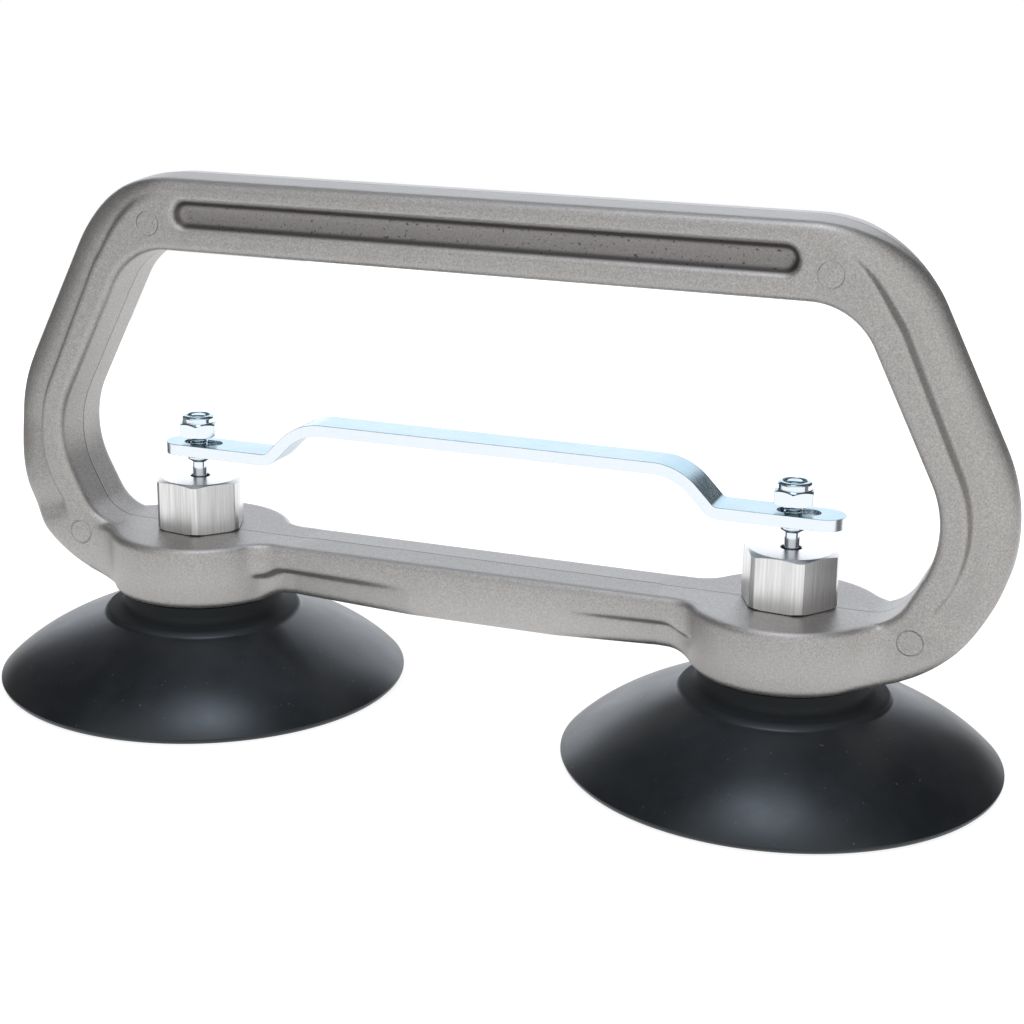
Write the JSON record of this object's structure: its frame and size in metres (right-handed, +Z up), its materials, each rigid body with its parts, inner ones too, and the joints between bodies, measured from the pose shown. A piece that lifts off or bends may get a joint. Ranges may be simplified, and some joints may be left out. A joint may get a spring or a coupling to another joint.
{
  "type": "double suction cup lifter",
  "caption": "Hand lifter: a cast aluminium handle on two rubber suction cups, with a raised steel bar that lifts a spring valve over each cup to let air in.",
  "frame": {"origin": "on the plane of the cups' lips, midway between the two cups", "axes": "+X along the handle to the right seen from the front, -Y the front, +Z up from the lips to the grip"},
  "size_m": [0.3192, 0.1288, 0.16],
  "materials": {
    "cast_aluminium": "blasted casting, warm mid grey, fine grain",
    "cup_rubber": "moulded, black, satin",
    "insert_steel": "turned and pressed steel",
    "hexagon_aluminium": "drawn hexagon bar, bright, with fine lengthwise streaks",
    "zinc_plated_steel": "bright zinc plate with a pale blue tint",
    "poppet_brass": "turned",
    "seal_rubber": "moulded, black",
    "spring_steel": "drawn spring wire",
    "nut_ring_plastic": "pale translucent nylon"
  },
  "bodies": {
    "cups": {"left_suction_cup": "cup_rubber", "right_suction_cup": "cup_rubber"},
    "handle": {"handle": "cast_aluminium", "left_cup_insert": "insert_steel", "right_cup_insert": "insert_steel", "left_valve_body": "hexagon_aluminium", "right_valve_body": "hexagon_aluminium", "left_valve_spring": "spring_steel", "right_valve_spring": "spring_steel"},
    "left_stem": {"left_valve_stem": "zinc_plated_steel", "left_valve_poppet": "poppet_brass", "left_valve_seal": "seal_rubber", "left_lock_nut": "zinc_plated_steel", "left_lock_nut_ring": "nut_ring_plastic"},
    "right_stem": {"right_valve_stem": "zinc_plated_steel", "right_valve_poppet": "poppet_brass", "right_valve_seal": "seal_rubber", "right_lock_nut": "zinc_plated_steel", "right_lock_nut_ring": "nut_ring_plastic"},
    "release_bar": {"release_bar": "zinc_plated_steel"}
  },
  "joints": [
    {"name": "press_down", "type": "slide", "parent": "cups", "child": "handle", "axis": [0, 0, -1], "range_m": [0, 0.008], "stiffness_N_per_m": 10000, "springref_m": -0.002, "deforming": ["left_suction_cup", "right_suction_cup"]},
    {"name": "left_valve_lift", "type": "slide", "parent": "handle", "child": "left_stem", "axis": [0, 0, 1], "range_m": [0, 0.0032], "stiffness_N_per_m": 600, "springref_m": -0.007, "deforming": ["left_valve_spring"]},
    {"name": "right_valve_lift", "type": "slide", "parent": "handle", "child": "right_stem", "axis": [0, 0, 1], "range_m": [0, 0.0032], "stiffness_N_per_m": 600, "springref_m": -0.007, "deforming": ["right_valve_spring"]},
    {"name": "release_bar_play", "type": "slide", "parent": "left_stem", "child": "release_bar", "axis": [0, 0, 1], "range_m": [0, 0.0017]}
  ],
  "couplings": [
    {"joint": "right_valve_lift", "follows": "left_valve_lift", "ratio": 1}
  ]
}
